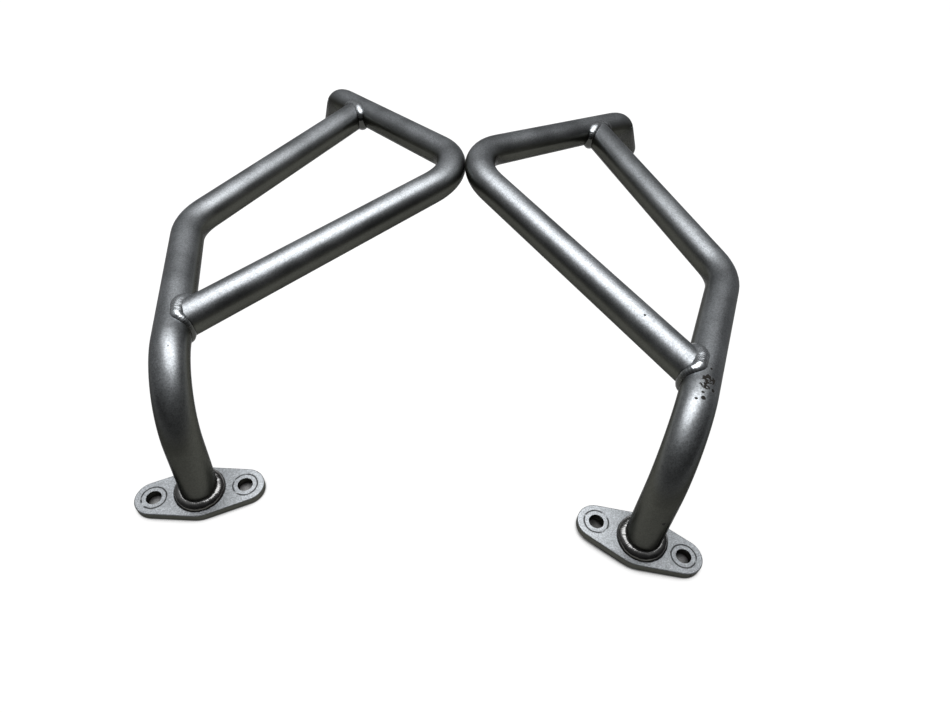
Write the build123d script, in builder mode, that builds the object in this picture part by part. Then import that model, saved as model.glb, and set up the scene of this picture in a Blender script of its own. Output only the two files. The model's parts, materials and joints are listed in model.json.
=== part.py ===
from build123d import *
import math
import os

# A pair of welded tubular crash bars for a motorcycle, a left and a right bar.
# The bars lie as they rest on a floor. The left bar stands flat on its mounting plate
# and on the open end of its tail. The right bar is its mirror image and leans on the
# left bar, corner against corner. Millimetres, +Z up, the origin lies on the floor
# under the middle of the pair.

# Driving dimensions: tube and bends
tube_diameter = 25.0
tube_wall = 2.0
bend_radius = 50.0

# Driving dimensions: mounting plate
plate_thickness = 6.0
plate_end_radius = 13.0
plate_middle_radius = 20.0
plate_edge_round = 0.8
bolt_spacing = 61.0
bolt_hole_diameter = 10.5

# Driving dimensions: run of one bar, from the middle of the plate's underside.
# Reach goes along the plate towards the corner, advance across it, height up from it.
lower_bend_reach = 1.0
lower_bend_advance = 18.0
lower_bend_height = 94.5
knee_reach = 0.0
knee_advance = 210.0
knee_height = 75.5
corner_reach = 234.5
corner_advance = 222.5
corner_height = 100.5
top_joint_reach = 156.5
top_joint_advance = 387.0
top_joint_height = 68.5
brace_distance = 62.0
right_foot_offset = 1.7

# Driving dimensions: tail that turns down past the top joint
tail_run = 30.0
tail_bend_angle = 39.0
tail_roll = 17.0
vent_diameter = 7.0
vent_distance = 26.0
vent_turn = 32.0

# Driving dimensions: weld beads, fuller in the narrow side of a tube joint
plate_bead_radius = 5.0
brace_bead_radius = 3.5
top_bead_radius = 4.5
crotch_fullness = 1.35

# Driving dimensions: the thin tips of a coped tube end, cut back and welded over
brace_tip_trim = 6.0
top_tip_trim = 7.5
brace_tip_round = 7.0
top_tip_round = 6.5

# Driving dimensions: how the pair lies
bar_yaw = 17.0
lean_angle = 2.4
corner_gap = 0.3
right_bar_setback = -1.2
closing_steps = 20

# Sizes that follow
tube_radius = tube_diameter / 2
bore_radius = tube_radius - tube_wall
hole_offset = bolt_spacing / 2
cope_reach = tube_diameter

# Corners of the centrelines
lower_bend_point = Vector(lower_bend_reach, lower_bend_advance, lower_bend_height)
knee_point = Vector(knee_reach, knee_advance, knee_height)
corner_point = Vector(corner_reach, corner_advance, corner_height)
top_joint_point = Vector(top_joint_reach, top_joint_advance, top_joint_height)

# Directions of the straight runs
shin_direction = (knee_point - lower_bend_point).normalized()
arm_direction = (top_joint_point - knee_point).normalized()
upper_direction = (top_joint_point - corner_point).normalized()

# The axis of the loop tube starts on that of the main tube, its metal at its trimmed tips
brace_point = lower_bend_point + shin_direction * brace_distance
brace_direction = (corner_point - brace_point).normalized()
loop_start = brace_point + brace_direction * brace_tip_trim
main_end = top_joint_point - arm_direction * top_tip_trim

# The tail turns down, rolled a little out of the plane of the loop
loop_normal = brace_direction.cross(upper_direction).normalized()
loop_side = loop_normal.cross(upper_direction)
roll = math.radians(tail_roll)
tail_inward = loop_normal * -math.cos(roll) - loop_side * math.sin(roll)
tail_angle = math.radians(tail_bend_angle)
tail_direction = upper_direction * math.cos(tail_angle) + tail_inward * math.sin(tail_angle)
tail_setback = bend_radius * math.tan(tail_angle / 2)
tail_point = top_joint_point + upper_direction * (tail_run + tail_setback)

# The tail reaches down to the plane of the plate's underside
rim_drop = tube_radius * math.sqrt(1 - tail_direction.Z**2)
tail_length = (tail_point.Z - rim_drop) / -tail_direction.Z
tail_end = tail_point + tail_direction * tail_length
rim_down = (Vector(0, 0, -1) + tail_direction * tail_direction.Z).normalized()
tail_touch = tail_end + rim_down * tube_radius


def main_path(foot_offset):
    """Centreline of the main tube, from under the plate to its trimmed tips at the top."""
    foot = (-foot_offset, 0, 0)
    with BuildLine() as path:
        FilletPolyline(foot, lower_bend_point, knee_point, main_end, radius=bend_radius)
    return path.wire()


def loop_path():
    """Centreline of the loop tube, from its trimmed tips to the end of the tail."""
    with BuildLine() as path:
        FilletPolyline(loop_start, corner_point, tail_point, tail_end, radius=bend_radius)
    return path.wire()


def pipe_plane(path):
    """Plane across a centreline at its start."""
    return Plane(origin=path @ 0, z_dir=path % 0)


def rod_plane(point, direction, reach):
    """Plane across a straight run, its given reach before a point."""
    return Plane(origin=point - direction * reach, z_dir=direction)


# Main tube: cut flat on the plate, coped on to the loop tube
def main_tube(foot_offset):
    path = main_path(foot_offset)
    with BuildPart() as tube:
        with BuildSketch(pipe_plane(path)):
            Circle(tube_radius)
        sweep(path=path)
        with BuildSketch(pipe_plane(path)):
            Circle(bore_radius)
        sweep(path=path, mode=Mode.SUBTRACT)
        with BuildSketch(rod_plane(top_joint_point, upper_direction, cope_reach)):
            Circle(tube_radius)
        extrude(amount=2 * cope_reach, mode=Mode.SUBTRACT)
        split(bisect_by=Plane.XY.offset(plate_thickness), keep=Keep.TOP)
    return tube.part


# Loop tube: coped on to the main tube, open at the tail, vented at the tail bend
def loop_tube():
    path = loop_path()
    turn = math.radians(vent_turn)
    along = vent_distance / bend_radius
    inward = tail_inward * math.cos(along) - upper_direction * math.sin(along)
    sideways = upper_direction.cross(tail_inward)
    bend_start = top_joint_point + upper_direction * tail_run
    vent_centre = bend_start + tail_inward * bend_radius - inward * bend_radius
    vent_direction = sideways * math.sin(turn) - inward * math.cos(turn)
    with BuildPart() as tube:
        with BuildSketch(pipe_plane(path)):
            Circle(tube_radius)
        sweep(path=path)
        with BuildSketch(pipe_plane(path)):
            Circle(bore_radius)
        sweep(path=path, mode=Mode.SUBTRACT)
        with BuildSketch(rod_plane(brace_point, shin_direction, cope_reach)):
            Circle(tube_radius)
        extrude(amount=2 * cope_reach, mode=Mode.SUBTRACT)
        with BuildSketch(Plane(origin=vent_centre, z_dir=vent_direction)):
            Circle(vent_diameter / 2)
        extrude(amount=tube_diameter, mode=Mode.SUBTRACT)
    return tube.part


# Mounting plate: round ends about the two bolt holes, full in the middle under the tube
def mounting_plate():
    with BuildPart() as plate:
        with BuildSketch():
            with Locations((-hole_offset, 0), (hole_offset, 0)):
                Circle(plate_end_radius)
            Circle(plate_middle_radius)
            make_hull()
        extrude(amount=plate_thickness)
        rims = plate.edges().group_by(Axis.Z)[-1] + plate.edges().group_by(Axis.Z)[0]
        fillet(rims, radius=plate_edge_round)
        with Locations((-hole_offset, 0), (hole_offset, 0)):
            Hole(bolt_hole_diameter / 2, depth=plate_thickness)
    return plate.part


# Bead round the foot of the main tube, on the top of the plate
def plate_weld(foot_offset):
    foot = Vector(-foot_offset, 0, 0)
    foot_direction = (lower_bend_point - foot).normalized()
    foot_centre = foot + foot_direction * (plate_thickness / foot_direction.Z)
    downhill = Vector(foot_direction.X, foot_direction.Y, 0).normalized()
    foot_plane = Plane(origin=foot_centre, x_dir=downhill, z_dir=(0, 0, 1))
    with BuildPart() as bead:
        with BuildLine(foot_plane) as toe:
            EllipticalCenterArc((0, 0), tube_radius / foot_direction.Z, tube_radius, 0, arc_size=360)
        with BuildSketch(pipe_plane(toe.wire())):
            Circle(plate_bead_radius)
        sweep(path=toe.wire())
        with BuildSketch(rod_plane(foot_centre, foot_direction, cope_reach)):
            Circle(tube_radius)
        extrude(amount=2 * cope_reach, mode=Mode.SUBTRACT)
        split(bisect_by=Plane.XY.offset(plate_thickness), keep=Keep.TOP)
    return bead.part


# Bead round the coped end of one tube on another of the same size
def joint_weld(point, run, branch, tip_trim, tip_round, bead_radius):
    """The bead follows the corner between the tubes and passes straight over the tips.

    point is where the axes cross, run the direction of the through tube on the narrow
    side of the joint, branch the direction in which the coped tube leaves it.
    """
    across = run.cross(branch).normalized()
    tip_lateral = tip_trim * math.sin(math.radians(run.get_angle(branch))) + bead_radius / 2
    tip_height = math.sqrt(tube_radius**2 - tip_lateral**2)
    with BuildPart() as plug:
        with BuildSketch(Plane(origin=point, x_dir=across.cross(branch), z_dir=branch)) as outline:
            Circle(tube_radius)
            Rectangle(2 * tube_radius, 2 * tip_height, mode=Mode.INTERSECT)
            fillet(outline.vertices(), radius=tip_round)
            split(bisect_by=Plane.XZ, keep=Keep.BOTTOM)
        extrude(amount=2 * cope_reach)
        with BuildSketch(Plane(origin=point - run * 2 * cope_reach, x_dir=run.cross(across), z_dir=run)):
            Circle(tube_radius)
        extrude(amount=4 * cope_reach, mode=Mode.INTERSECT)
    joint_face = plug.faces().sort_by(Axis(point, branch))[-1]
    corner = [edge for edge in joint_face.edges() if (edge @ 0.5 - point).dot(across) > tube_wall]
    path = Wire(corner)
    with BuildPart() as bead:
        with BuildSketch(pipe_plane(path)):
            Circle(bead_radius)
        with BuildSketch(Plane(origin=path @ 1, z_dir=path % 1)):
            Circle(bead_radius * crotch_fullness)
        sweep(path=path, multisection=True)
        mirror(about=Plane(origin=point, z_dir=across))
        with BuildSketch(rod_plane(point, run, 2 * cope_reach)):
            Circle(tube_radius)
        extrude(amount=4 * cope_reach, mode=Mode.SUBTRACT)
        with BuildSketch(rod_plane(point, branch, -tip_trim)):
            Circle(tube_radius)
        extrude(amount=2 * cope_reach, mode=Mode.SUBTRACT)
    return bead.part


# The pieces of one bar
def bar_pieces(foot_offset):
    brace_runs = (brace_point, shin_direction, brace_direction)
    top_runs = (top_joint_point, upper_direction * -1, arm_direction * -1)
    return {
        "main_tube": main_tube(foot_offset),
        "loop_tube": loop_tube(),
        "mounting_plate": mounting_plate(),
        "plate_weld": plate_weld(foot_offset),
        "brace_weld": joint_weld(*brace_runs, brace_tip_trim, brace_tip_round, brace_bead_radius),
        "top_weld": joint_weld(*top_runs, top_tip_trim, top_tip_round, top_bead_radius),
    }


# How the pair lies: the left bar is turned, the right one mirrored, leaned and turned
def lean_axis():
    """Line on the floor from the plate's outer end to where the mirrored tail touches."""
    touch = Vector(-tail_touch.X, tail_touch.Y, 0)
    end_centre = Vector(hole_offset, 0, 0)
    to_touch = touch - end_centre
    turn = math.degrees(math.acos(plate_end_radius / to_touch.length))
    plate_touch = end_centre + to_touch.normalized().rotate(Axis.Z, -turn) * plate_end_radius
    return Axis(plate_touch, touch - plate_touch)


def lie_left(shape):
    """The left bar, turned on its plate."""
    return shape.moved(Location((0, 0, 0), (0, 0, bar_yaw)))


def lie_right(shape):
    """The right bar beside it, before it is pushed against the left one."""
    leaned = shape.mirror(Plane.YZ).rotate(lean_axis(), lean_angle)
    return leaned.moved(Location((0, right_bar_setback, 0), (0, 0, -bar_yaw)))


def push_together():
    """Distance along X that leaves the corner gap between the two loop tubes."""
    left_line = lie_left(loop_path())
    right_line = lie_right(loop_path())
    shift = 2 * corner_point.length
    for _ in range(closing_steps):
        clear = left_line.distance_to(right_line.moved(Location((shift, 0, 0))))
        shift -= clear - tube_diameter - corner_gap
    return shift


right_shift = Location((push_together(), 0, 0))
bars = {
    "left": {name: lie_left(piece) for name, piece in bar_pieces(0).items()},
    "right": {
        name: lie_right(piece).moved(right_shift)
        for name, piece in bar_pieces(right_foot_offset).items()
    },
}
every_piece = [piece for bar in bars.values() for piece in bar.values()]
extent = Compound(children=every_piece).bounding_box()
to_origin = Location((-extent.center().X, -extent.center().Y, -extent.min.Z))

os.makedirs("parts", exist_ok=True)
for side, bar in bars.items():
    for name, piece in bar.items():
        with BuildPart() as node:
            add(piece.moved(to_origin))
        node.part.label = f"{side}_{name}"
        export_step(node.part, f"parts/{side}_{name}.step")
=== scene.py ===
"""Looks for a pair of welded tubular motorcycle crash bars.

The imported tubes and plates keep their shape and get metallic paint. The weld beads are
replaced by rippled ones in the same corners. A plain pale floor and soft light surround them.
"""

import json
import logging
import math
from collections.abc import Sequence
from dataclasses import dataclass
from enum import Enum

import bpy
from mathutils import Matrix, Vector


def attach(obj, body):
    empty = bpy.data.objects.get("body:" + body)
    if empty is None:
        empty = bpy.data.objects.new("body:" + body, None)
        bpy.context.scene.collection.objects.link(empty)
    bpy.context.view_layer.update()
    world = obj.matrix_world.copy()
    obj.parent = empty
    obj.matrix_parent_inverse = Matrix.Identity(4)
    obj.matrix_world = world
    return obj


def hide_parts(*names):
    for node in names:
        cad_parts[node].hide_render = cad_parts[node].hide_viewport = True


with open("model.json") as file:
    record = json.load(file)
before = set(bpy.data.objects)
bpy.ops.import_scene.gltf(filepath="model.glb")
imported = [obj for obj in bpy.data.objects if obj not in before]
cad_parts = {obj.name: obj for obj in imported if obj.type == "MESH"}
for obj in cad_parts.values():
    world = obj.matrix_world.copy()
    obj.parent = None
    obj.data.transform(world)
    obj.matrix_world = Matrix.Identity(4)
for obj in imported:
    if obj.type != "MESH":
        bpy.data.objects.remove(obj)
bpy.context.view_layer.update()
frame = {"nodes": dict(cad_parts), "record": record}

LOG = logging.getLogger("crash_bars")
MM = 0.001
BODY = "root"
WHITE = (1.0, 1.0, 1.0, 1.0)
UP = (0.0, 0.0, 1.0)

# Weights of a colour's three parts in its brightness
AVERAGE = (0.33, 0.33, 0.34)
# Between these a soft noise keeps nearly all of its values
NOISE_LOW, NOISE_HIGH = 0.3, 0.7
# Between these a flake's brightness makes a difference
FLAKE_LOW, FLAKE_HIGH = 0.1, 0.9
# Sockets of a Mix node that mixes colours
MIX_INPUTS = (0, 6, 7)
MIX_RESULT = 2

# Sizes that both bars share, in millimetres, from the middle of the plate's underside
TUBE_RADIUS = 12.5
PLATE_THICKNESS = 6.0
BOLT_OFFSET = 30.5
LOWER_BEND = Vector((1.0, 18.0, 94.5))
KNEE = Vector((0.0, 210.0, 75.5))
CORNER = Vector((234.5, 222.5, 100.5))
TOP_JOINT = Vector((156.5, 387.0, 68.5))
BRACE_DISTANCE = 62.0
RIGHT_FOOT_OFFSET = 1.7
YAW = math.radians(17.0)


@dataclass(frozen=True)
class Fullness:
    """How full a joint's bead is, as a share of its radius.

    heel is its wide side, crotch its narrow one, and flank what the sides between them have
    in addition.
    """

    heel: float = 1.0
    crotch: float = 1.12
    flank: float = 0.0


@dataclass(frozen=True)
class CopedEnd:
    """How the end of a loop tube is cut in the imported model, in millimetres."""

    tip_trim: float
    tip_round: float
    bead_radius: float


LEFT_BRACE_FULLNESS = Fullness(heel=0.74, crotch=1.08, flank=0.2)
RIGHT_BRACE_FULLNESS = Fullness(heel=0.95, crotch=1.12, flank=0.14)
BRACE_END = CopedEnd(tip_trim=6.0, tip_round=7.0, bead_radius=3.5)
TOP_END = CopedEnd(tip_trim=7.5, tip_round=6.5, bead_radius=4.5)


class Side(Enum):
    """Which bar of the pair."""

    LEFT = "left"
    RIGHT = "right"

    @property
    def hand(self) -> int:
        """1 for the left bar, -1 for its mirror image."""
        return 1 if self is Side.LEFT else -1

    @property
    def brace_fullness(self) -> Fullness:
        """How full the bead at the brace is."""
        return LEFT_BRACE_FULLNESS if self is Side.LEFT else RIGHT_BRACE_FULLNESS

    @property
    def foot_offset(self) -> float:
        """How far the tube's foot stands outward of the middle of its plate, in millimetres."""
        return 0.0 if self is Side.LEFT else RIGHT_FOOT_OFFSET


class Slot(Enum):
    """The record's material slots."""

    TUBE = "tube_paint"
    PLATE = "plate_paint"
    WELD = "weld_paint"


class Seed(Enum):
    """Which random pattern a bead or a finish has, before its side is counted in."""

    FOOT_BEAD = 1.0
    TUBE = 2.0
    BRACE_BEAD = 4.0
    PLATE = 5.0
    TOP_BEAD = 7.0
    WELD = 8.0
    FOOT = 11.0

    def on(self, side: Side) -> float:
        """The seed of the piece on one side."""
        return self.value + side.hand


class Layer(Enum):
    """What a finish adds to its seed for each of its layers."""

    PEEL = 3.0
    GRAIN = 5.0
    RING = 11.0
    RING_GAPS = 17.0
    CHIP = 23.0


@dataclass(frozen=True)
class BarFrame:
    """Where one bar lies in the row frame: its plate's middle and its own three axes."""

    side: Side
    origin: Vector
    reach: Vector
    advance: Vector
    up: Vector

    @classmethod
    def from_record(cls, record: dict, side: Side) -> "BarFrame":
        """Reads the plate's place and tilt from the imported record.

        Args:
            record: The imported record.
            side: Which bar.

        Returns:
            The bar's own frame.
        """
        mounts = {mount["name"]: mount for mount in record["mounts"]}
        bolts = mounts[f"{side.value}_plate_bolts"]
        up = -Vector(bolts["axis"]).normalized()
        heading = Vector((side.hand * math.cos(YAW), math.sin(YAW), 0.0))
        reach = (heading - up * heading.dot(up)).normalized()
        advance = up.cross(reach) * side.hand
        return cls(side, Vector(bolts["pos_m"]), reach, advance, up)

    def turn(self, direction: Vector) -> Vector:
        """Turns a direction of the bar into the row frame."""
        return self.reach * direction.x + self.advance * direction.y + self.up * direction.z

    def place(self, point: Vector) -> Vector:
        """Takes a point of the bar, in millimetres, to the row frame, in metres."""
        return self.origin + self.turn(point) * MM


class Tree:
    """A node tree that is written from left to right, with short calls."""

    def __init__(self, tree: bpy.types.NodeTree) -> None:
        """Keeps the tree and empties it.

        Args:
            tree: The tree to fill.
        """
        self.tree = tree
        self.tree.nodes.clear()

    def node(self, kind: str, **settings: object) -> bpy.types.Node:
        """Adds a node.

        Args:
            kind: Its type.
            **settings: Properties of the node itself.

        Returns:
            The node.
        """
        made = self.tree.nodes.new(kind)
        for name, value in settings.items():
            setattr(made, name, value)
        return made

    def feed(self, node: bpy.types.Node, **inputs: object) -> bpy.types.Node:
        """Sets or links inputs by name, with _ for a space.

        Args:
            node: The node whose inputs are fed.
            **inputs: A socket to link from, or a value.

        Returns:
            The same node.
        """
        for name, value in inputs.items():
            self.put(node.inputs[name.replace("_", " ")], value)
        return node

    def put(self, socket: bpy.types.NodeSocket, value: object) -> None:
        """Links or sets one input.

        Args:
            socket: The input.
            value: A socket to link from, or a value.
        """
        if isinstance(value, bpy.types.NodeSocket):
            self.tree.links.new(value, socket)
        else:
            socket.default_value = value

    def maths(self, operation: str, *values: object, clamp: bool = False) -> bpy.types.NodeSocket:
        """Adds a Math node.

        Args:
            operation: Its operation.
            *values: Sockets or numbers, in order.
            clamp: Whether the result stays between 0 and 1.

        Returns:
            The result.
        """
        made = self.node("ShaderNodeMath", operation=operation, use_clamp=clamp)
        for socket, value in zip(made.inputs, values):
            self.put(socket, value)
        return made.outputs[0]

    def vector(
        self, operation: str, *values: object, result: str = "Vector"
    ) -> bpy.types.NodeSocket:
        """Adds a Vector Math node.

        Args:
            operation: Its operation.
            *values: Sockets or vectors, in order.
            result: The name of the output that is wanted.

        Returns:
            The result.
        """
        made = self.node("ShaderNodeVectorMath", operation=operation)
        for socket, value in zip(made.inputs, values):
            self.put(socket, value)
        return made.outputs[result]

    def scaled(self, vector: bpy.types.NodeSocket, factor: object) -> bpy.types.NodeSocket:
        """Scales a vector.

        Args:
            vector: The vector.
            factor: A number or a socket.

        Returns:
            The scaled vector.
        """
        made = self.node("ShaderNodeVectorMath", operation="SCALE")
        self.feed(made, Vector=vector, Scale=factor)
        return made.outputs["Vector"]

    def span(
        self,
        value: bpy.types.NodeSocket,
        low: float,
        high: float,
        start: float = 0.0,
        end: float = 1.0,
    ) -> bpy.types.NodeSocket:
        """Spreads a value smoothly between two limits.

        Args:
            value: The value.
            low: The value that gives start.
            high: The value that gives end.
            start: The result at low.
            end: The result at high.

        Returns:
            The spread value.
        """
        made = self.node("ShaderNodeMapRange", interpolation_type="SMOOTHSTEP")
        self.feed(made, Value=value, From_Min=low, From_Max=high, To_Min=start, To_Max=end)
        return made.outputs["Result"]

    def blend(self, share: object, first: object, second: object) -> bpy.types.NodeSocket:
        """Mixes two colours.

        Args:
            share: How much of the second colour shows.
            first: A colour or a socket.
            second: A colour or a socket.

        Returns:
            The mixed colour.
        """
        made = self.node("ShaderNodeMix", data_type="RGBA")
        for index, value in zip(MIX_INPUTS, (share, first, second)):
            self.put(made.inputs[index], value)
        return made.outputs[MIX_RESULT]

    def noise(
        self, vector: bpy.types.NodeSocket, size: float, detail: float = 2.0, seed: float = 0.0
    ) -> bpy.types.NodeSocket:
        """Adds a soft random pattern.

        Args:
            vector: Where it is read.
            size: The size of its features, in metres.
            detail: How many finer layers it has.
            seed: Which of the patterns.

        Returns:
            The pattern, about 0.5.
        """
        made = self.node("ShaderNodeTexNoise", noise_dimensions="4D")
        self.feed(made, Vector=vector, W=seed, Scale=1.0 / size, Detail=detail)
        return made.outputs["Fac"]


def grey(level: float, warmth: float = 0.0) -> tuple[float, float, float, float]:
    """A grey a little warmer or cooler than neutral.

    Args:
        level: Its brightness, linear.
        warmth: Above 0 warmer, below 0 cooler.

    Returns:
        A colour.
    """
    return (level * (1 + warmth), level, level * (1 - warmth), 1.0)


@dataclass(frozen=True)
class Blemish:
    """A place where the paint is chipped or stained.

    centre is in metres in the row frame, radius in metres, cover from 0 to 1.
    """

    centre: Vector
    radius: float
    chip_cover_and_painted_light: float


@dataclass(frozen=True)
class BoltMark:
    """The ring that a bolt's head and washer left round a hole, in metres."""

    centre: Vector
    radius: float
    width: float
    strength: float


@dataclass(frozen=True)
class Wear:
    """How chips, their stains and the rings of bolt heads look.

    Levels are linear. Sizes are in metres. Roughness is what a mark adds to the paint's own.
    """

    level: float = 0.012
    warmth: float = 0.1
    light_gain: float = 3.0
    light_warmth: float = 0.15
    mottle_size: float = 0.001
    mottle_seed: float = 8.0
    chip_grain: float = 0.0017
    chip_from: float = 0.34
    chip_to: float = 0.40
    chip_depth: float = 0.00008
    chip_roughness: float = 0.3
    ring_roughness: float = 0.2
    ring_wobble: float = 0.004
    ring_gap: float = 0.006
    gap_from: float = 0.32
    gap_to: float = 0.47
    full_share: float = 0.3

    @property
    def light_level(self) -> float:
        """Level of the lighter parts of a chip, and of the rings."""
        return self.level * self.light_gain


@dataclass(frozen=True)
class MetallicPaint:
    """Silver grey paint with a fine metal flake over steel, as it is on the tubes.

    Levels are linear. Sizes are in metres. The underside settings are painted shade: the sides
    that look down get a darker, warmer colour with fainter flakes.
    """

    name: str
    level: float = 0.42
    warmth: float = -0.05
    metallic: float = 0.9
    roughness: float = 0.38
    roughness_swing: float = 0.05
    edge_tint: float = 0.25
    coat: float = 0.1
    coat_roughness: float = 0.22
    flake_size: float = 0.0007
    flake_contrast: float = 0.27
    peel_size: float = 0.0022
    peel_height: float = 0.00002
    grain_size: float = 0.0006
    grain_height: float = 0.00001
    patch_size: float = 0.03
    patch_contrast: float = 0.12
    # Painted shade: how much darker, warmer and less flaked the sides that look down are, and over
    # which upward part of the normal it fades in
    underside_shade_share: float = 0.84
    underside_shade_tint: tuple[float, float, float] = (0.98, 1.0, 0.86)
    underside_shade_from: float = 0.9
    underside_shade_to: float = 0.25
    underside_shade_flakes: float = 0.5
    wear: Wear = Wear()
    seed: float = 1.0

    def build(
        self, blemishes: Sequence[Blemish] = (), marks: Sequence[BoltMark] = ()
    ) -> bpy.types.Material:
        """Makes the material.

        Args:
            blemishes: Where the paint is chipped.
            marks: The rings round the bolt holes.

        Returns:
            The material.
        """
        wear = self.wear
        material = bpy.data.materials.new(self.name)
        material.use_nodes = True
        tree = Tree(material.node_tree)
        place = tree.node("ShaderNodeTexCoord").outputs["Object"]
        patches = tree.noise(place, self.patch_size, detail=3.0, seed=self.seed)
        colour = self._coat_colour_and_painted_shade(tree, place, patches)
        height = self._coat_height(tree, place)
        smoothest = self.roughness - self.roughness_swing
        roughest = self.roughness + self.roughness_swing
        rough = tree.span(patches, NOISE_LOW, NOISE_HIGH, smoothest, roughest)
        metal: object = self.metallic
        if marks:
            ring = self._ring_share(tree, place, marks)
            colour = tree.blend(ring, colour, grey(wear.light_level))
            rough = tree.maths("ADD", rough, tree.maths("MULTIPLY", ring, wear.ring_roughness))
        if blemishes:
            chip = self._chip_share(tree, place, blemishes)
            mottle = tree.noise(place, wear.mottle_size, seed=wear.mottle_seed)
            dark = grey(wear.level, wear.warmth)
            stain = tree.blend(mottle, dark, grey(wear.light_level, wear.light_warmth))
            colour = tree.blend(chip, colour, stain)
            added = tree.maths("MULTIPLY", chip, wear.chip_roughness)
            rough = tree.maths("ADD", rough, added, clamp=True)
            metal = tree.maths("MULTIPLY", tree.maths("SUBTRACT", 1.0, chip), self.metallic)
            depth = tree.maths("MULTIPLY", chip, wear.chip_depth)
            height = tree.maths("SUBTRACT", height, depth)
        bump = tree.feed(tree.node("ShaderNodeBump"), Height=height, Distance=1.0, Strength=1.0)
        normal = bump.outputs["Normal"]
        shader = tree.node("ShaderNodeBsdfPrincipled")
        tree.feed(shader, Base_Color=colour, Metallic=metal, Roughness=rough, Normal=normal)
        tree.feed(shader, Coat_Weight=self.coat, Coat_Roughness=self.coat_roughness)
        tree.feed(shader, Specular_Tint=grey(self.edge_tint))
        output = tree.node("ShaderNodeOutputMaterial")
        tree.put(output.inputs["Surface"], shader.outputs["BSDF"])
        return material

    def _coat_colour_and_painted_shade(
        self, tree: Tree, place: bpy.types.NodeSocket, patches: bpy.types.NodeSocket
    ) -> bpy.types.NodeSocket:
        """The colour of the coat: flakes and large soft patches, with painted shade that makes the
        sides that look down darker and warmer.

        Args:
            tree: The material's tree.
            place: Object coordinates.
            patches: The pattern of the patches.

        Returns:
            The colour.
        """
        flake = tree.node("ShaderNodeTexVoronoi", feature="F1")
        tree.feed(flake, Vector=place, Scale=1.0 / self.flake_size)
        sparkle = tree.vector("DOT_PRODUCT", flake.outputs["Color"], AVERAGE, result="Value")
        contrast = self.flake_contrast
        flakes = tree.span(sparkle, FLAKE_LOW, FLAKE_HIGH, -contrast, contrast)
        # Painted shade: the flakes fade on the sides that look down
        chip_cover_and_painted_light = self._painted_light_share(tree)
        shown = tree.span(chip_cover_and_painted_light, 0.0, 1.0, self.underside_shade_flakes, 1.0)
        tone = tree.maths("ADD", tree.maths("MULTIPLY", flakes, shown), 1.0)
        darkest, lightest = 1 - self.patch_contrast, 1 + self.patch_contrast
        drift = tree.span(patches, NOISE_LOW, NOISE_HIGH, darkest, lightest)
        shade = tree.maths("MULTIPLY", tone, drift)
        # Painted shade: a darker, warmer colour on the sides that look down
        underside_shade_level = self.level * (1.0 - self.underside_shade_share)
        underside_shade_colour = tuple(part * underside_shade_level for part in self.underside_shade_tint) + (1.0,)
        return tree.scaled(tree.blend(chip_cover_and_painted_light, underside_shade_colour, grey(self.level, self.warmth)), shade)

    def _coat_height(self, tree: Tree, place: bpy.types.NodeSocket) -> bpy.types.NodeSocket:
        """The orange peel and the fine grain of the coat.

        Args:
            tree: The material's tree.
            place: Object coordinates.

        Returns:
            The height of the surface, in metres.
        """
        peel_seed = self.seed + Layer.PEEL.value
        grain_seed = self.seed + Layer.GRAIN.value
        peel = tree.noise(place, self.peel_size, detail=1.0, seed=peel_seed)
        grain = tree.noise(place, self.grain_size, detail=1.0, seed=grain_seed)
        coarse = tree.maths("MULTIPLY", peel, self.peel_height)
        return tree.maths("ADD", coarse, tree.maths("MULTIPLY", grain, self.grain_height))

    def _painted_light_share(self, tree: Tree) -> bpy.types.NodeSocket:
        """Share of the lit colour against the painted shade: 1 on top, 0 on the sides that look
        down.

        Args:
            tree: The material's tree.

        Returns:
            The share.
        """
        normal = tree.node("ShaderNodeNewGeometry").outputs["Normal"]
        upward = tree.vector("DOT_PRODUCT", normal, UP, result="Value")
        return tree.span(upward, self.underside_shade_to, self.underside_shade_from)

    def _ring_share(
        self, tree: Tree, place: bpy.types.NodeSocket, marks: Sequence[BoltMark]
    ) -> bpy.types.NodeSocket:
        """Where the broken dark rings round the bolt holes show.

        Args:
            tree: The material's tree.
            place: Object coordinates.
            marks: The rings.

        Returns:
            How much each place is marked.
        """
        wear = self.wear
        total: object = 0.0
        for number, mark in enumerate(marks):
            away = tree.vector("DISTANCE", place, tuple(mark.centre), result="Value")
            ring_seed = self.seed + Layer.RING.value + number
            gap_seed = self.seed + Layer.RING_GAPS.value + number
            wobble = tree.noise(place, wear.ring_wobble, detail=3.0, seed=ring_seed)
            shift = tree.maths("MULTIPLY", tree.maths("SUBTRACT", wobble, 0.5), mark.width)
            shifted = tree.maths("ADD", away, shift)
            off = tree.maths("ABSOLUTE", tree.maths("SUBTRACT", shifted, mark.radius))
            ring = tree.span(off, mark.width, mark.width * wear.full_share)
            gaps = tree.noise(place, wear.ring_gap, seed=gap_seed)
            broken = tree.maths("MULTIPLY", ring, tree.span(gaps, wear.gap_from, wear.gap_to))
            total = tree.maths("MAXIMUM", total, tree.maths("MULTIPLY", broken, mark.strength))
        return total

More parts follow.
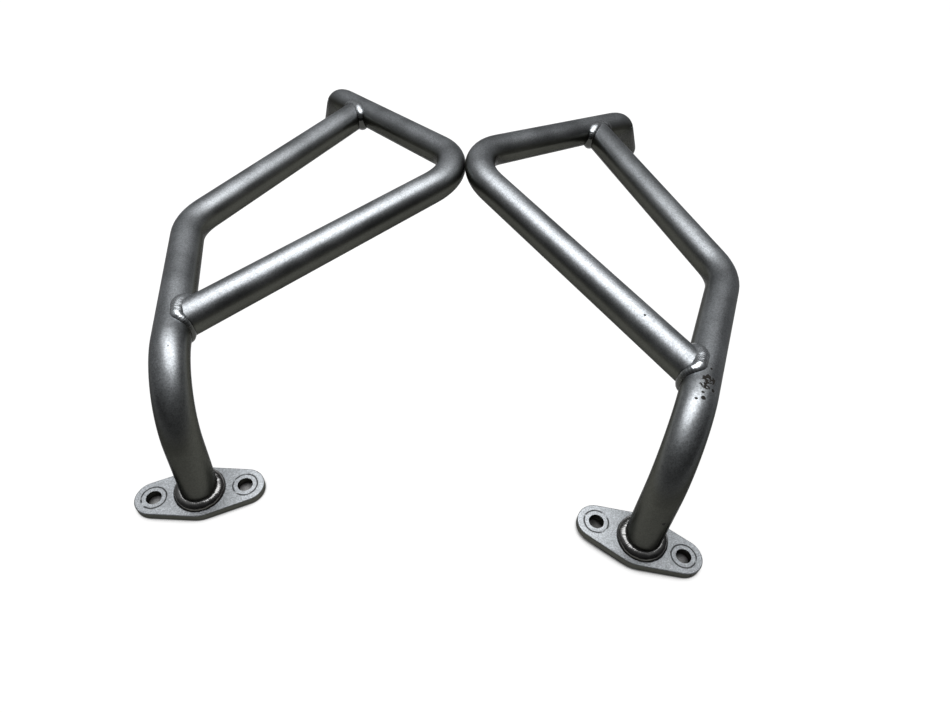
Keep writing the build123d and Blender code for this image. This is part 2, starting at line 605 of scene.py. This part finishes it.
    def _chip_share(
        self, tree: Tree, place: bpy.types.NodeSocket, blemishes: Sequence[Blemish]
    ) -> bpy.types.NodeSocket:
        """Where the paint is gone.

        Args:
            tree: The material's tree.
            place: Object coordinates.
            blemishes: The chipped places.

        Returns:
            1 in a chip and 0 outside.
        """
        wear = self.wear
        chip_seed = self.seed + Layer.CHIP.value
        pattern = tree.noise(place, wear.chip_grain, detail=4.0, seed=chip_seed)
        total: object = 0.0
        for blemish in blemishes:
            away = tree.vector("DISTANCE", place, tuple(blemish.centre), result="Value")
            inner = blemish.radius * wear.full_share
            near = tree.span(away, blemish.radius, inner, 0.0, blemish.chip_cover_and_painted_light)
            total = tree.maths("MAXIMUM", total, near)
        edge = tree.maths("ADD", pattern, tree.maths("SUBTRACT", total, 1.0))
        return tree.span(edge, wear.chip_from, wear.chip_to)


@dataclass(frozen=True)
class PlatePaint(MetallicPaint):
    """The plates' coat, more matt than that of the tubes, and lighter as a painted reflection of
    the bright light on their tops.
    """

    # Painted reflection: the lighter level stands in for the light the plates' tops reflect
    level: float = 0.53
    roughness: float = 0.46


@dataclass(frozen=True)
class WeldPaint(MetallicPaint):
    """The coat of the joints' beads, light and glossy, with few flakes."""

    level: float = 0.62
    # Painted shade: the beads' sides that look down are made much darker
    underside_shade_share: float = 0.94
    roughness: float = 0.25
    coat: float = 0.5
    coat_roughness: float = 0.08
    flake_contrast: float = 0.1


@dataclass(frozen=True)
class FootPaint(MetallicPaint):
    """The coat of the beads at the plates, dark and very glossy, with hardly any flakes."""

    level: float = 0.2
    warmth: float = 0.0
    # Painted shade: a warm, dark colour on the sides of the bead that look down
    underside_shade_tint: tuple[float, float, float] = (1.04, 0.98, 0.78)
    roughness: float = 0.14
    coat: float = 0.6
    coat_roughness: float = 0.06
    flake_contrast: float = 0.05


@dataclass(frozen=True)
class RippleTree:
    """The Geometry Nodes tree that lays a rippled bead along a closed line.

    wander_scale is in features to the metre, wander_ripples in ripples.
    """

    name: str = "rippled_bead"
    wander_scale: float = 260.0
    wander_ripples: float = 1.6
    mean_wave: float = 0.6

    def build(self) -> bpy.types.NodeTree:
        """Makes the tree.

        Returns:
            A tree with inputs for the line, the bead's sizes and its paint.
        """
        group = bpy.data.node_groups.new(self.name, "GeometryNodeTree")
        side = group.interface
        side.new_socket("Line", in_out="INPUT", socket_type="NodeSocketGeometry")
        for name in ("Bead Radius", "Step", "Ripple Height", "Crescent", "Unevenness", "Seed"):
            side.new_socket(name, in_out="INPUT", socket_type="NodeSocketFloat")
        side.new_socket("Ripple Count", in_out="INPUT", socket_type="NodeSocketInt")
        side.new_socket("Sides", in_out="INPUT", socket_type="NodeSocketInt")
        side.new_socket("Paint", in_out="INPUT", socket_type="NodeSocketMaterial")
        side.new_socket("Bead", in_out="OUTPUT", socket_type="NodeSocketGeometry")
        tree = Tree(group)
        given = tree.node("NodeGroupInput").outputs
        curve = tree.feed(tree.node("GeometryNodeMeshToCurve"), Mesh=given["Line"])
        even = tree.node("GeometryNodeResampleCurve", mode="LENGTH")
        tree.feed(even, Curve=curve.outputs["Curve"], Length=given["Step"])
        along = tree.node("GeometryNodeCaptureAttribute", domain="POINT")
        along.capture_items.new("FLOAT", "along")
        tree.put(along.inputs["Geometry"], even.outputs["Curve"])
        tree.put(along.inputs["along"], tree.node("GeometryNodeSplineParameter").outputs["Factor"])
        profile = tree.node("GeometryNodeCurvePrimitiveCircle", mode="RADIUS")
        tree.feed(profile, Resolution=given["Sides"], Radius=given["Bead Radius"])
        fullness = tree.node("GeometryNodeInputNamedAttribute", data_type="FLOAT")
        tree.feed(fullness, Name="fullness")
        swept = tree.node("GeometryNodeCurveToMesh")
        tree.put(swept.inputs["Curve"], along.outputs["Geometry"])
        tree.put(swept.inputs["Profile Curve"], profile.outputs["Curve"])
        tree.put(swept.inputs["Scale"], fullness.outputs["Attribute"])
        offset = self._offset(tree, given, along.outputs["along"])
        moved = tree.node("GeometryNodeSetPosition")
        tree.feed(moved, Geometry=swept.outputs["Mesh"], Offset=offset)
        smooth = tree.node("GeometryNodeSetShadeSmooth")
        tree.put(smooth.inputs["Geometry"], moved.outputs["Geometry"])
        real = tree.node("GeometryNodeRealizeInstances")
        tree.put(real.inputs["Geometry"], smooth.outputs["Geometry"])
        painted = tree.node("GeometryNodeSetMaterial")
        tree.feed(painted, Geometry=real.outputs["Geometry"], Material=given["Paint"])
        tree.put(tree.node("NodeGroupOutput").inputs["Bead"], painted.outputs["Geometry"])
        return group

    def _offset(
        self, tree: Tree, given: bpy.types.bpy_prop_collection, along: bpy.types.NodeSocket
    ) -> bpy.types.NodeSocket:
        """How far each point of the bead moves out to make its ripples.

        Args:
            tree: The tree.
            given: The group's inputs.
            along: The share of the line at which the point lies.

        Returns:
            The offset of each point.
        """
        crest = tree.node("GeometryNodeInputNamedAttribute", data_type="FLOAT_VECTOR")
        tree.feed(crest, Name="crest")
        normal = tree.node("GeometryNodeInputNormal").outputs["Normal"]
        place = tree.node("GeometryNodeInputPosition").outputs["Position"]
        facing = tree.vector("DOT_PRODUCT", normal, crest.outputs["Attribute"], result="Value")
        lag = tree.maths("MULTIPLY", tree.maths("SUBTRACT", 1.0, facing), given["Crescent"])
        wander = tree.node("ShaderNodeTexNoise", noise_dimensions="4D")
        tree.feed(wander, Vector=place, W=given["Seed"], Scale=self.wander_scale, Detail=2.0)
        jitter = tree.maths("SUBTRACT", wander.outputs["Fac"], 0.5)
        phase = tree.maths("ADD", tree.maths("MULTIPLY", along, given["Ripple Count"]), lag)
        phase = tree.maths("ADD", phase, tree.maths("MULTIPLY", jitter, self.wander_ripples))
        wave = tree.maths("ABSOLUTE", tree.maths("SINE", tree.maths("MULTIPLY", phase, math.pi)))
        swing = tree.maths("SUBTRACT", wave, self.mean_wave)
        scale = tree.maths("MULTIPLY", swing, given["Ripple Height"])
        uneven = tree.maths("MULTIPLY", jitter, given["Unevenness"])
        return tree.scaled(normal, tree.maths("ADD", scale, uneven))


@dataclass(frozen=True)
class BeadLine:
    """The closed line that a bead follows, in millimetres in a bar's own frame.

    Each point has the direction of the bead's crest and how full the bead is there.
    """

    points: tuple[Vector, ...]
    crests: tuple[Vector, ...]
    fullness: tuple[float, ...]


@dataclass(frozen=True)
class WeldBead:
    """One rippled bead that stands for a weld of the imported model. Sizes in millimetres."""

    node: str
    bar: BarFrame
    line: BeadLine
    radius: float
    ripple_pitch: float = 1.15
    ripple_height: float = 0.09
    crescent: float = 0.55
    unevenness: float = 0.7
    step: float = 0.28
    sides: int = 36
    seed: float = 0.0

    def build(self, ripples: bpy.types.NodeTree, paint: bpy.types.Material) -> bpy.types.Object:
        """Makes the bead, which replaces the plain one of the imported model.

        Args:
            ripples: The Geometry Nodes tree.
            paint: The material.

        Returns:
            The bead as a plain mesh.
        """
        guide = self._guide()
        modifier = guide.modifiers.new("ripples", "NODES")
        modifier.node_group = ripples
        sizes = {
            "Bead Radius": self.radius * MM,
            "Step": self.step * MM,
            "Ripple Height": self.ripple_height * MM,
            "Crescent": self.crescent,
            "Unevenness": self.unevenness * MM,
            "Seed": self.seed,
            "Ripple Count": max(1, round(self._length() / self.ripple_pitch)),
            "Sides": self.sides,
            "Paint": paint,
        }
        for item in ripples.interface.items_tree:
            if item.in_out == "INPUT" and item.name in sizes:
                modifier[item.identifier] = sizes[item.name]
        depsgraph = bpy.context.evaluated_depsgraph_get()
        shape = guide.evaluated_get(depsgraph)
        mesh = bpy.data.meshes.new_from_object(shape, depsgraph=depsgraph)
        bpy.data.objects.remove(guide)
        for name in ("fullness", "crest"):
            if name in mesh.attributes:
                mesh.attributes.remove(mesh.attributes[name])
        bead = bpy.data.objects.new(f"{self.node}_bead", mesh)
        bpy.context.scene.collection.objects.link(bead)
        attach(bead, BODY)
        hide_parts(self.node)
        return bead

    def _length(self) -> float:
        """Length of the closed line, in millimetres."""
        points = self.line.points
        return sum((b - a).length for a, b in zip(points, points[1:] + points[:1]))

    def _guide(self) -> bpy.types.Object:
        """Makes the closed line as edges that carry the crest and the fullness of the bead.

        Returns:
            The line's object.
        """
        count = len(self.line.points)
        mesh = bpy.data.meshes.new(f"{self.node}_line")
        places = [self.bar.place(point) for point in self.line.points]
        mesh.from_pydata(places, [(i, (i + 1) % count) for i in range(count)], [])
        crests = [part for crest in self.line.crests for part in self.bar.turn(crest)]
        mesh.attributes.new("crest", "FLOAT_VECTOR", "POINT")
        mesh.attributes["crest"].data.foreach_set("vector", crests)
        mesh.attributes.new("fullness", "FLOAT", "POINT")
        mesh.attributes["fullness"].data.foreach_set("value", self.line.fullness)
        guide = bpy.data.objects.new(f"{self.node}_line", mesh)
        bpy.context.scene.collection.objects.link(guide)
        return guide


@dataclass(frozen=True)
class PlateCorner:
    """The corner between the foot of the main tube and the plate. Sizes in millimetres."""

    foot: Vector
    steps: int = 160

    def line(self) -> BeadLine:
        """The ellipse in which the tube meets the top of the plate.

        Returns:
            The line, with the crest halfway between the plate and the tube.
        """
        lean = (LOWER_BEND - self.foot).normalized()
        centre = self.foot + lean * (PLATE_THICKNESS / lean.z)
        downhill = Vector((lean.x, lean.y, 0.0)).normalized()
        across = Vector((-downhill.y, downhill.x, 0.0))
        points, crests = [], []
        for index in range(self.steps):
            turn = 2 * math.pi * index / self.steps
            outward = downhill * math.cos(turn) + across * math.sin(turn)
            reach = downhill * math.cos(turn) / lean.z + across * math.sin(turn)
            points.append(centre + reach * TUBE_RADIUS)
            crests.append((outward + Vector(UP)).normalized())
        return BeadLine(tuple(points), tuple(crests), (1.0,) * self.steps)


@dataclass(frozen=True)
class JointCorner:
    """The corner between a coped tube end and the tube it meets. Sizes in millimetres.

    point is where the axes cross, run the through tube's direction on the narrow side,
    branch the direction in which the coped tube leaves, sink how far the line lies below
    the corner.
    """

    point: Vector
    run: Vector
    branch: Vector
    end: CopedEnd
    fullness: Fullness = Fullness()
    sink: float = 1.2
    steps: int = 24

    def line(self) -> BeadLine:
        """The line on the through tube round the trimmed and rounded end of the other.

        Returns:
            The line, with how full the bead is on each side.
        """
        across = self.run.cross(self.branch).normalized()
        heel = across.cross(self.branch).normalized()
        rise = across.cross(self.run).normalized()
        if rise.dot(self.branch) < 0:
            rise = -rise
        half = self._half_outline()
        outline = half + [(a, -b) for a, b in reversed(half[1:-1])]
        widest = max(b for _, b in half)
        gain = self.fullness.crotch - self.fullness.heel
        points, crests, fullness = [], [], []
        for a, b in outline:
            lift = math.sqrt(TUBE_RADIUS**2 - b**2)
            length = (lift - a * rise.dot(heel)) / rise.dot(self.branch)
            spot = heel * a + across * b + self.branch * length
            along_run = self.run * spot.dot(self.run)
            off_run = (spot - along_run).normalized()
            off_branch = (heel * a + across * b).normalized()
            crest = (off_run + off_branch).normalized()
            points.append(self.point + spot - crest * self.sink)
            crests.append(crest)
            full = self.fullness.heel + gain * (0.5 - 0.5 * a / TUBE_RADIUS)
            fullness.append(full + self.fullness.flank * (b / widest) ** 2)
        return BeadLine(tuple(points), tuple(crests), tuple(fullness))

    def _half_outline(self) -> list[tuple[float, float]]:
        """Half of the tube end's outline, from the wide side to the narrow one.

        Returns:
            Points across the tube end, flattened and rounded where its tips are trimmed.
        """
        narrow = math.sin(self.run.angle(self.branch))
        lateral = self.end.tip_trim * narrow + self.end.bead_radius / 2
        height = math.sqrt(TUBE_RADIUS**2 - lateral**2)
        rounding = self.end.tip_round
        middle_b = height - rounding
        middle_a = math.sqrt((TUBE_RADIUS - rounding) ** 2 - middle_b**2)
        meet = math.atan2(middle_b, middle_a)
        quarter = []
        for index in range(self.steps):
            turn = meet * index / self.steps
            quarter.append((TUBE_RADIUS * math.cos(turn), TUBE_RADIUS * math.sin(turn)))
        for index in range(self.steps):
            turn = meet + (math.pi / 2 - meet) * index / self.steps
            a, b = middle_a + rounding * math.cos(turn), middle_b + rounding * math.sin(turn)
            quarter.append((a, b))
        flat = [(middle_a * (1 - 2 * index / self.steps), height) for index in range(self.steps)]
        mirrored = [(-a, b) for a, b in reversed(quarter)]
        return quarter + flat + [(-middle_a, height)] + mirrored


@dataclass(frozen=True)
class CrashBar:
    """One bar of the pair: its painted tubes and plate, and its three rippled beads.

    Sizes are in millimetres.
    """

    bar: BarFrame
    tube_paint: MetallicPaint
    plate_paint: PlatePaint
    weld_paint: WeldPaint
    foot_paint: FootPaint
    blemishes: tuple[Blemish, ...] = ()
    mark_radius: float = 8.4
    mark_width: float = 0.8
    mark_strength: float = 0.85
    foot_bead_radius: float = 5.0
    foot_ripple_height: float = 0.06
    brace_bead_radius: float = 4.8
    brace_bead_sink: float = 1.7
    top_bead_radius: float = 5.2

    @classmethod
    def of(cls, side: Side, blemishes: tuple[Blemish, ...]) -> "CrashBar":
        """Takes the bar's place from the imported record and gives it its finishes.

        Args:
            side: Which bar.
            blemishes: Where its paint is chipped.

        Returns:
            The bar.
        """
        hand = side.value
        return cls(
            bar=BarFrame.from_record(frame["record"], side),
            tube_paint=MetallicPaint(f"{hand}_{Slot.TUBE.value}", seed=Seed.TUBE.on(side)),
            plate_paint=PlatePaint(f"{hand}_{Slot.PLATE.value}", seed=Seed.PLATE.on(side)),
            weld_paint=WeldPaint(f"{hand}_{Slot.WELD.value}", seed=Seed.WELD.on(side)),
            foot_paint=FootPaint(f"{hand}_foot_paint", seed=Seed.FOOT.on(side)),
            blemishes=blemishes,
        )

    def dress(
        self, nodes: dict[str, bpy.types.Object], ripples: bpy.types.NodeTree
    ) -> list[str]:
        """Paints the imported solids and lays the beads.

        Args:
            nodes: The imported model's nodes.
            ripples: The tree that makes a bead.

        Returns:
            The names of the pieces that were dressed.
        """
        side = self.bar.side.value
        tubes = self.tube_paint.build(blemishes=self.blemishes)
        plate = self.plate_paint.build(marks=self._marks())
        foot = self.foot_paint.build()
        joint = self.weld_paint.build()
        done = []
        for name, paint in (("main_tube", tubes), ("loop_tube", tubes), ("mounting_plate", plate)):
            paint_node(nodes[f"{side}_{name}"], paint)
            done.append(f"{side}_{name}")
        for bead, paint in zip(self._beads(), (foot, joint, joint)):
            done.append(bead.build(ripples, paint).name)
        return done

    def _marks(self) -> list[BoltMark]:
        """The rings round the two holes, on the top of the plate.

        Returns:
            The rings, in the row frame.
        """
        radius, width = self.mark_radius * MM, self.mark_width * MM
        marks = []
        for offset in (-BOLT_OFFSET, BOLT_OFFSET):
            centre = self.bar.place(Vector((offset, 0.0, PLATE_THICKNESS)))
            marks.append(BoltMark(centre, radius, width, self.mark_strength))
        return marks

    def _beads(self) -> tuple[WeldBead, WeldBead, WeldBead]:
        """Lays out the beads at the plate, at the brace and at the top joint.

        Returns:
            The three beads, not yet built.
        """
        side = self.bar.side
        shin = (KNEE - LOWER_BEND).normalized()
        brace_point = LOWER_BEND + shin * BRACE_DISTANCE
        brace = (CORNER - brace_point).normalized()
        upper = (TOP_JOINT - CORNER).normalized()
        arm = (TOP_JOINT - KNEE).normalized()
        foot = PlateCorner(Vector((-side.foot_offset, 0.0, 0.0)))
        low = JointCorner(
            brace_point, shin, brace, BRACE_END, side.brace_fullness, self.brace_bead_sink
        )
        top = JointCorner(TOP_JOINT, -upper, -arm, TOP_END)
        return (
            WeldBead(
                node=f"{side.value}_plate_weld",
                bar=self.bar,
                line=foot.line(),
                radius=self.foot_bead_radius,
                ripple_height=self.foot_ripple_height,
                seed=Seed.FOOT_BEAD.on(side),
            ),
            WeldBead(
                node=f"{side.value}_brace_weld",
                bar=self.bar,
                line=low.line(),
                radius=self.brace_bead_radius,
                seed=Seed.BRACE_BEAD.on(side),
            ),
            WeldBead(
                node=f"{side.value}_top_weld",
                bar=self.bar,
                line=top.line(),
                radius=self.top_bead_radius,
                seed=Seed.TOP_BEAD.on(side),
            ),
        )


def paint_node(node: bpy.types.Object, material: bpy.types.Material) -> None:
    """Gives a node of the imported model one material.

    Args:
        node: The node.
        material: The material.
    """
    for slot in node.material_slots:
        slot.material = material
    if not node.material_slots:
        node.data.materials.append(material)


@dataclass(frozen=True)
class Studio:
    """Pale floor, grey surroundings that brighten upwards, a soft lamp and a dim panel above.

    Sizes are in metres. Values that end in _from and _to are parts of a direction, from -1
    to 1: its part towards the back for near, and its part towards the right for left and right.
    """

    floor_side: float = 30.0
    floor_drop: float = 0.0002
    floor_level: float = 0.17
    floor_glow: float = 0.96
    # Painted contact shadow: how far and how strongly the floor's glow is dimmed close to the bars
    # and in their holes
    painted_contact_shadow_reach: float = 0.012
    painted_contact_shadow_closed: float = 0.33
    painted_contact_shadow_open: float = 0.72
    painted_contact_shadow_samples: int = 16
    pool_inner: float = 0.24
    pool_outer: float = 0.5
    pool_share: float = 0.25
    lamp_place: Vector = Vector((-0.03, 0.03, 0.75))
    lamp_size: tuple[float, float] = (0.74, 0.56)
    lamp_radiance: float = 2.5
    panel_place: Vector = Vector((-0.03, 0.32, 0.8))
    panel_size: tuple[float, float] = (1.6, 0.6)
    panel_radiance: float = 1.25
    horizon: float = 0.1
    zenith: float = 0.45
    zenith_power: float = 3.0
    near_share: float = 0.2
    near_from: float = -0.45
    near_to: float = 0.25
    right_share: float = 0.55
    right_from: float = 0.1
    right_to: float = 0.8
    left_glow: float = 0.08
    left_from: float = 0.2
    left_to: float = -0.9

    def build(self) -> None:
        """Makes the floor, the world, the lamp and the dim panel round it."""
        self._world()
        self._floor()
        self._disk("softbox", self.lamp_place, self.lamp_size, self.lamp_radiance)
        self._disk("ceiling_panel", self.panel_place, self.panel_size, self.panel_radiance)

    def _disk(
        self, name: str, place: Vector, size: tuple[float, float], radiance: float
    ) -> None:
        """Makes an oval lamp that looks down.

        Args:
            name: Its name.
            place: Its middle, in metres.
            size: Its width and depth, in metres.
            radiance: How bright it looks, linear.
        """
        lamp = bpy.data.lights.new(name, "AREA")
        lamp.shape = "ELLIPSE"
        lamp.size, lamp.size_y = size
        lamp.energy = radiance * math.pi * math.pi * lamp.size * lamp.size_y / 4
        disk = bpy.data.objects.new(name, lamp)
        disk.location = place
        disk.visible_camera = False
        bpy.context.scene.collection.objects.link(disk)

    def _seen(self, tree: Tree) -> bpy.types.NodeSocket:
        """Which rays see the floor's glow, apart from the light of the lamps.

        Args:
            tree: The floor's tree.

        Returns:
            1 for camera and transmission rays, a pool of light for glossy ones, 0 for others.
        """
        path = tree.node("ShaderNodeLightPath").outputs
        place = tree.node("ShaderNodeNewGeometry").outputs["Position"]
        away = tree.vector("LENGTH", place, result="Value")
        pool = tree.span(away, self.pool_inner, self.pool_outer, 1.0, self.pool_share)
        mirrored = tree.maths("MULTIPLY", path["Is Glossy Ray"], pool)
        either = tree.maths("MAXIMUM", path["Is Camera Ray"], mirrored)
        return tree.maths("MAXIMUM", either, path["Is Transmission Ray"])

    def _world(self) -> None:
        """Makes a grey room, bright overhead and dim towards the near side and the right.

        The camera itself sees white behind the floor.
        """
        world = bpy.data.worlds.new("studio")
        world.use_nodes = True
        bpy.context.scene.world = world
        tree = Tree(world.node_tree)
        way = tree.node("ShaderNodeTexCoord").outputs["Generated"]
        parts = tree.feed(tree.node("ShaderNodeSeparateXYZ"), Vector=way).outputs
        rise = tree.maths("POWER", tree.maths("MAXIMUM", parts["Z"], 0.0), self.zenith_power)
        above = tree.maths("MULTIPLY", rise, self.zenith)
        leftward = tree.span(parts["X"], self.left_from, self.left_to, 0.0, self.left_glow)
        strength = tree.maths("ADD", tree.maths("ADD", above, leftward), self.horizon)
        facing = tree.span(parts["Y"], self.near_from, self.near_to, self.near_share, 1.0)
        strength = tree.maths("MULTIPLY", strength, facing)
        dimmed = tree.span(parts["X"], self.right_from, self.right_to, 1.0, self.right_share)
        strength = tree.maths("MULTIPLY", strength, dimmed)
        seen = tree.node("ShaderNodeLightPath").outputs["Is Camera Ray"]
        strength = tree.maths("MAXIMUM", strength, seen)
        sky = tree.feed(tree.node("ShaderNodeBackground"), Color=WHITE, Strength=strength)
        output = tree.node("ShaderNodeOutputWorld")
        tree.put(output.inputs["Surface"], sky.outputs["Background"])

    def _floor(self) -> None:
        """Makes a plain floor that looks white and keeps the shadow of the bars, with a painted
        contact shadow that dims its glow close to them.
        """
        mesh = bpy.data.meshes.new("floor")
        half = self.floor_side / 2
        corners = ((-half, -half), (half, -half), (half, half), (-half, half))
        mesh.from_pydata([(x, y, -self.floor_drop) for x, y in corners], [], [(0, 1, 2, 3)])
        material = bpy.data.materials.new("pale_floor")
        material.use_nodes = True
        tree = Tree(material.node_tree)
        matt = tree.feed(tree.node("ShaderNodeBsdfDiffuse"), Color=grey(self.floor_level))
        glow = tree.node("ShaderNodeEmission")
        # Painted contact shadow: ambient occlusion dims the floor's glow near the bars
        occlusion = tree.node("ShaderNodeAmbientOcclusion", samples=self.painted_contact_shadow_samples)
        tree.feed(occlusion, Distance=self.painted_contact_shadow_reach)
        shaded = tree.span(occlusion.outputs["AO"], self.painted_contact_shadow_closed, self.painted_contact_shadow_open)
        strength = tree.maths("MULTIPLY", self._seen(tree), self.floor_glow)
        tree.feed(glow, Color=WHITE, Strength=tree.maths("MULTIPLY", strength, shaded))
        both = tree.node("ShaderNodeAddShader")
        tree.put(both.inputs[0], matt.outputs["BSDF"])
        tree.put(both.inputs[1], glow.outputs["Emission"])
        output = tree.node("ShaderNodeOutputMaterial")
        tree.put(output.inputs["Surface"], both.outputs["Shader"])
        mesh.materials.append(material)
        floor = bpy.data.objects.new("floor", mesh)
        bpy.context.scene.collection.objects.link(floor)


@dataclass(frozen=True)
class PhotoCamera:
    """The photograph's viewpoint, for a frame of 950 by 713.

    Lengths are in metres, apart from the lens and the sensor, which are in millimetres.
    """

    place: Vector = Vector((0.038016, -0.462208, 0.410847))
    right: Vector = Vector((0.994374, 0.098380, 0.039260))
    down: Vector = Vector((0.101080, -0.770494, -0.629383))
    lens: float = 25.031
    sensor: float = 36.0
    shift_x: float = 0.00994
    shift_y: float = 0.04246
    clip_start: float = 0.01
    clip_end: float = 100.0

    def build(self) -> None:
        """Makes the camera and gives it to the scene."""
        data = bpy.data.cameras.new("camera")
        data.lens = self.lens
        data.sensor_width = self.sensor
        data.shift_x = self.shift_x
        data.shift_y = self.shift_y
        data.clip_start = self.clip_start
        data.clip_end = self.clip_end
        camera = bpy.data.objects.new("camera", data)
        up = -self.down
        back = self.right.cross(up)
        turn = Matrix((self.right, up, back)).transposed().to_4x4()
        camera.matrix_world = Matrix.Translation(self.place) @ turn
        bpy.context.scene.collection.objects.link(camera)
        bpy.context.scene.camera = camera


# Chips in the paint of each bar, in metres in the row frame
RIGHT_BLEMISHES = (
    Blemish(Vector((0.1757, -0.1783, 0.1027)), 0.0095, 0.97),
    Blemish(Vector((0.1725, -0.1846, 0.1032)), 0.0065, 0.93),
    Blemish(Vector((0.1702, -0.1832, 0.1032)), 0.0045, 0.88),
    Blemish(Vector((0.1699, -0.1942, 0.1029)), 0.0035, 1.0),
    Blemish(Vector((0.1654, -0.1948, 0.1024)), 0.0020, 1.0),
    Blemish(Vector((0.1699, -0.1899, 0.1034)), 0.0022, 1.0),
    Blemish(Vector((0.1771, -0.1867, 0.1016)), 0.0030, 0.9),
    Blemish(Vector((0.1788, -0.1678, 0.1012)), 0.0018, 1.0),
    Blemish(Vector((0.1386, -0.1275, 0.1049)), 0.0020, 1.0),
    Blemish(Vector((0.1717, -0.2226, 0.0828)), 0.0025, 1.0),
    Blemish(Vector((0.1581, -0.2481, 0.0398)), 0.0025, 1.0),
)
LEFT_BLEMISHES = (
    Blemish(Vector((-0.1675, -0.1872, 0.1025)), 0.0012, 0.9),
    Blemish(Vector((-0.1643, -0.1945, 0.1014)), 0.0011, 0.9),
)


def main() -> None:
    """Builds the camera, the bars and the studio in order and reports each piece."""
    logging.basicConfig(level=logging.INFO, format="%(name)s: %(message)s")
    bpy.context.scene.view_settings.view_transform = "Standard"
    PhotoCamera().build()
    LOG.info("camera ready")
    ripples = RippleTree().build()
    for side, blemishes in ((Side.LEFT, LEFT_BLEMISHES), (Side.RIGHT, RIGHT_BLEMISHES)):
        for name in CrashBar.of(side, blemishes).dress(frame["nodes"], ripples):
            LOG.info("dressed %s", name)
    Studio().build()
    LOG.info("studio ready")


if __name__ == "__main__":
    main()
